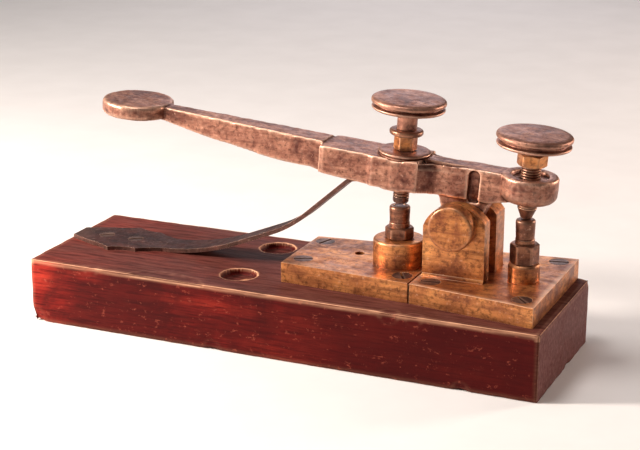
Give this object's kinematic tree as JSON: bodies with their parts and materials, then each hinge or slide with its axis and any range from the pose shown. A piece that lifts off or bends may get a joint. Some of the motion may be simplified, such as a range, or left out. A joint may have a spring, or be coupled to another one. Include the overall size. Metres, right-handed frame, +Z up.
{
  "type": "morse key",
  "caption": "Early lever telegraph key: brass lever with a flat finger knob rocking in a yoke over two anvils, on a wooden block, with a leaf spring.",
  "frame": {"origin": "middle of the wooden block's underside, on the surface it stands on", "axes": "+X along the block towards the stop screw (the finger knob is at -X), +Y across the block away from the face with the wider view of the front pivot screw, +Z up"},
  "size_m": [0.171, 0.0546, 0.0809],
  "materials": {
    "mahogany": "aged, satin",
    "plate_brass": "tarnished, satin",
    "bronze": "worn cast patina",
    "spring_brass": "dark tarnish, worn bright at its edges",
    "dark_brass": "dark tarnish",
    "dark_steel": "darkened, worn"
  },
  "bodies": {
    "base": {"base_block": "mahogany", "front_plate": "plate_brass", "rear_plate": "plate_brass", "plate_screws": "dark_steel", "front_cheek": "plate_brass", "rear_cheek": "plate_brass", "cheek_screws": "dark_steel", "front_pivot_screw": "plate_brass", "rear_pivot_screw": "plate_brass", "front_anvil": "plate_brass", "front_anvil_nut": "dark_brass", "front_post": "dark_brass", "front_contact": "dark_steel", "rear_anvil": "plate_brass", "rear_anvil_nut": "dark_brass", "rear_post": "dark_brass", "leaf_spring": "spring_brass", "spring_screws": "dark_steel"},
    "lever": {"lever": "bronze", "pivot_axle": "dark_steel", "axle_pin": "dark_steel", "contact_bush": "bronze"},
    "contact_feed": {"contact_tip": "dark_steel"},
    "contact_screw": {"contact_screw": "dark_brass", "contact_collar": "dark_brass", "contact_head": "bronze"},
    "contact_nut": {"contact_lock_nut": "plate_brass"},
    "stop_feed": {"stop_tip": "dark_brass"},
    "stop_screw": {"stop_screw": "dark_brass", "stop_head": "bronze"},
    "stop_nut": {"stop_lock_nut": "plate_brass"}
  },
  "joints": [
    {"name": "lever_pivot", "type": "hinge", "parent": "base", "child": "lever", "pos_m": [0.0523, 0, 0.0443], "axis": [0, -1, 0], "range_deg": [0, 2.35], "stiffness_Nm_per_rad": 0.6, "springref_deg": -21.77, "deforming": ["leaf_spring"]},
    {"name": "contact_screw_feed", "type": "slide", "parent": "lever", "child": "contact_feed", "axis": [0.0698, 0, 0.9976], "range_m": [0, 0.0016]},
    {"name": "contact_screw_turn", "type": "hinge", "parent": "contact_feed", "child": "contact_screw", "pos_m": [0.03324, 0, 0.06568], "axis": [0.0698, 0, 0.9976], "range_deg": [0, 720]},
    {"name": "contact_lock_nut_turn", "type": "hinge", "parent": "lever", "child": "contact_nut", "pos_m": [0.03324, 0, 0.06568], "axis": [0.0698, 0, 0.9976], "range_deg": [0, 60]},
    {"name": "stop_screw_feed", "type": "slide", "parent": "lever", "child": "stop_feed", "axis": [0.0698, 0, 0.9976], "range_m": [0, 0.0016]},
    {"name": "stop_screw_turn", "type": "hinge", "parent": "stop_feed", "child": "stop_screw", "pos_m": [0.07315, 0, 0.06289], "axis": [0.0698, 0, 0.9976], "range_deg": [0, 720]},
    {"name": "stop_lock_nut_turn", "type": "hinge", "parent": "stop_feed", "child": "stop_nut", "pos_m": [0.07315, 0, 0.06289], "axis": [0.0698, 0, 0.9976], "range_deg": [0, 360]}
  ],
  "couplings": [
    {"joint": "contact_screw_turn", "follows": "contact_screw_feed", "rad_per_m": 7853.9},
    {"joint": "stop_screw_turn", "follows": "stop_screw_feed", "rad_per_m": 7853.9}
  ]
}
